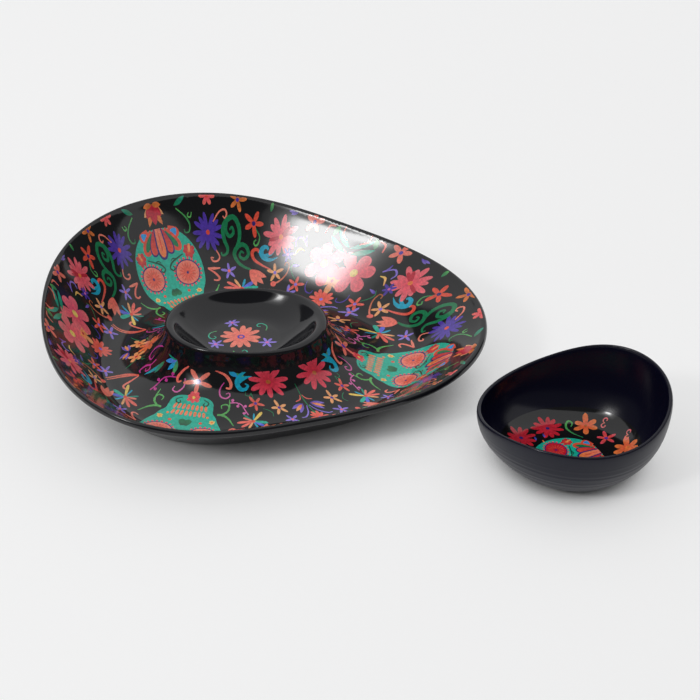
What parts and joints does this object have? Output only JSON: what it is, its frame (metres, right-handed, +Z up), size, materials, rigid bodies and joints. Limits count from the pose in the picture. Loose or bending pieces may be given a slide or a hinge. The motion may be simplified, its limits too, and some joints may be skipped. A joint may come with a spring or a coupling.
{
  "type": "chip and dip server",
  "caption": "Wavy-rimmed chip tray with a raised dip well moulded in its floor, and a loose small matching dip bowl beside it.",
  "frame": {"origin": "bottom centre of the bounding box of the tray and the small bowl together, on the table", "axes": "+Z up, +X from the tray towards the side where the small bowl stands, +Y towards the tray's high back rim"},
  "size_m": [0.5286, 0.3894, 0.0783],
  "materials": {
    "black_melamine": "high gloss inside, satin outside",
    "navy_melamine": "high gloss inside, satin outside",
    "tray_print": "glossy multicolour print of skulls and flowers on black",
    "well_print": "glossy flower print on black",
    "bowl_print": "glossy multicolour print of a skull and flowers on black"
  },
  "bodies": {
    "server": {"server_body": "black_melamine", "tray_print_foil": "tray_print", "well_print_foil": "well_print"},
    "dip_bowl": {"dip_bowl_body": "navy_melamine", "dip_bowl_print_foil": "bowl_print"}
  },
  "joints": [
    {"name": "dip_bowl_lift", "type": "slide", "parent": "server", "child": "dip_bowl", "axis": [0, 0, 1], "range_m": [0, 0.2]}
  ]
}
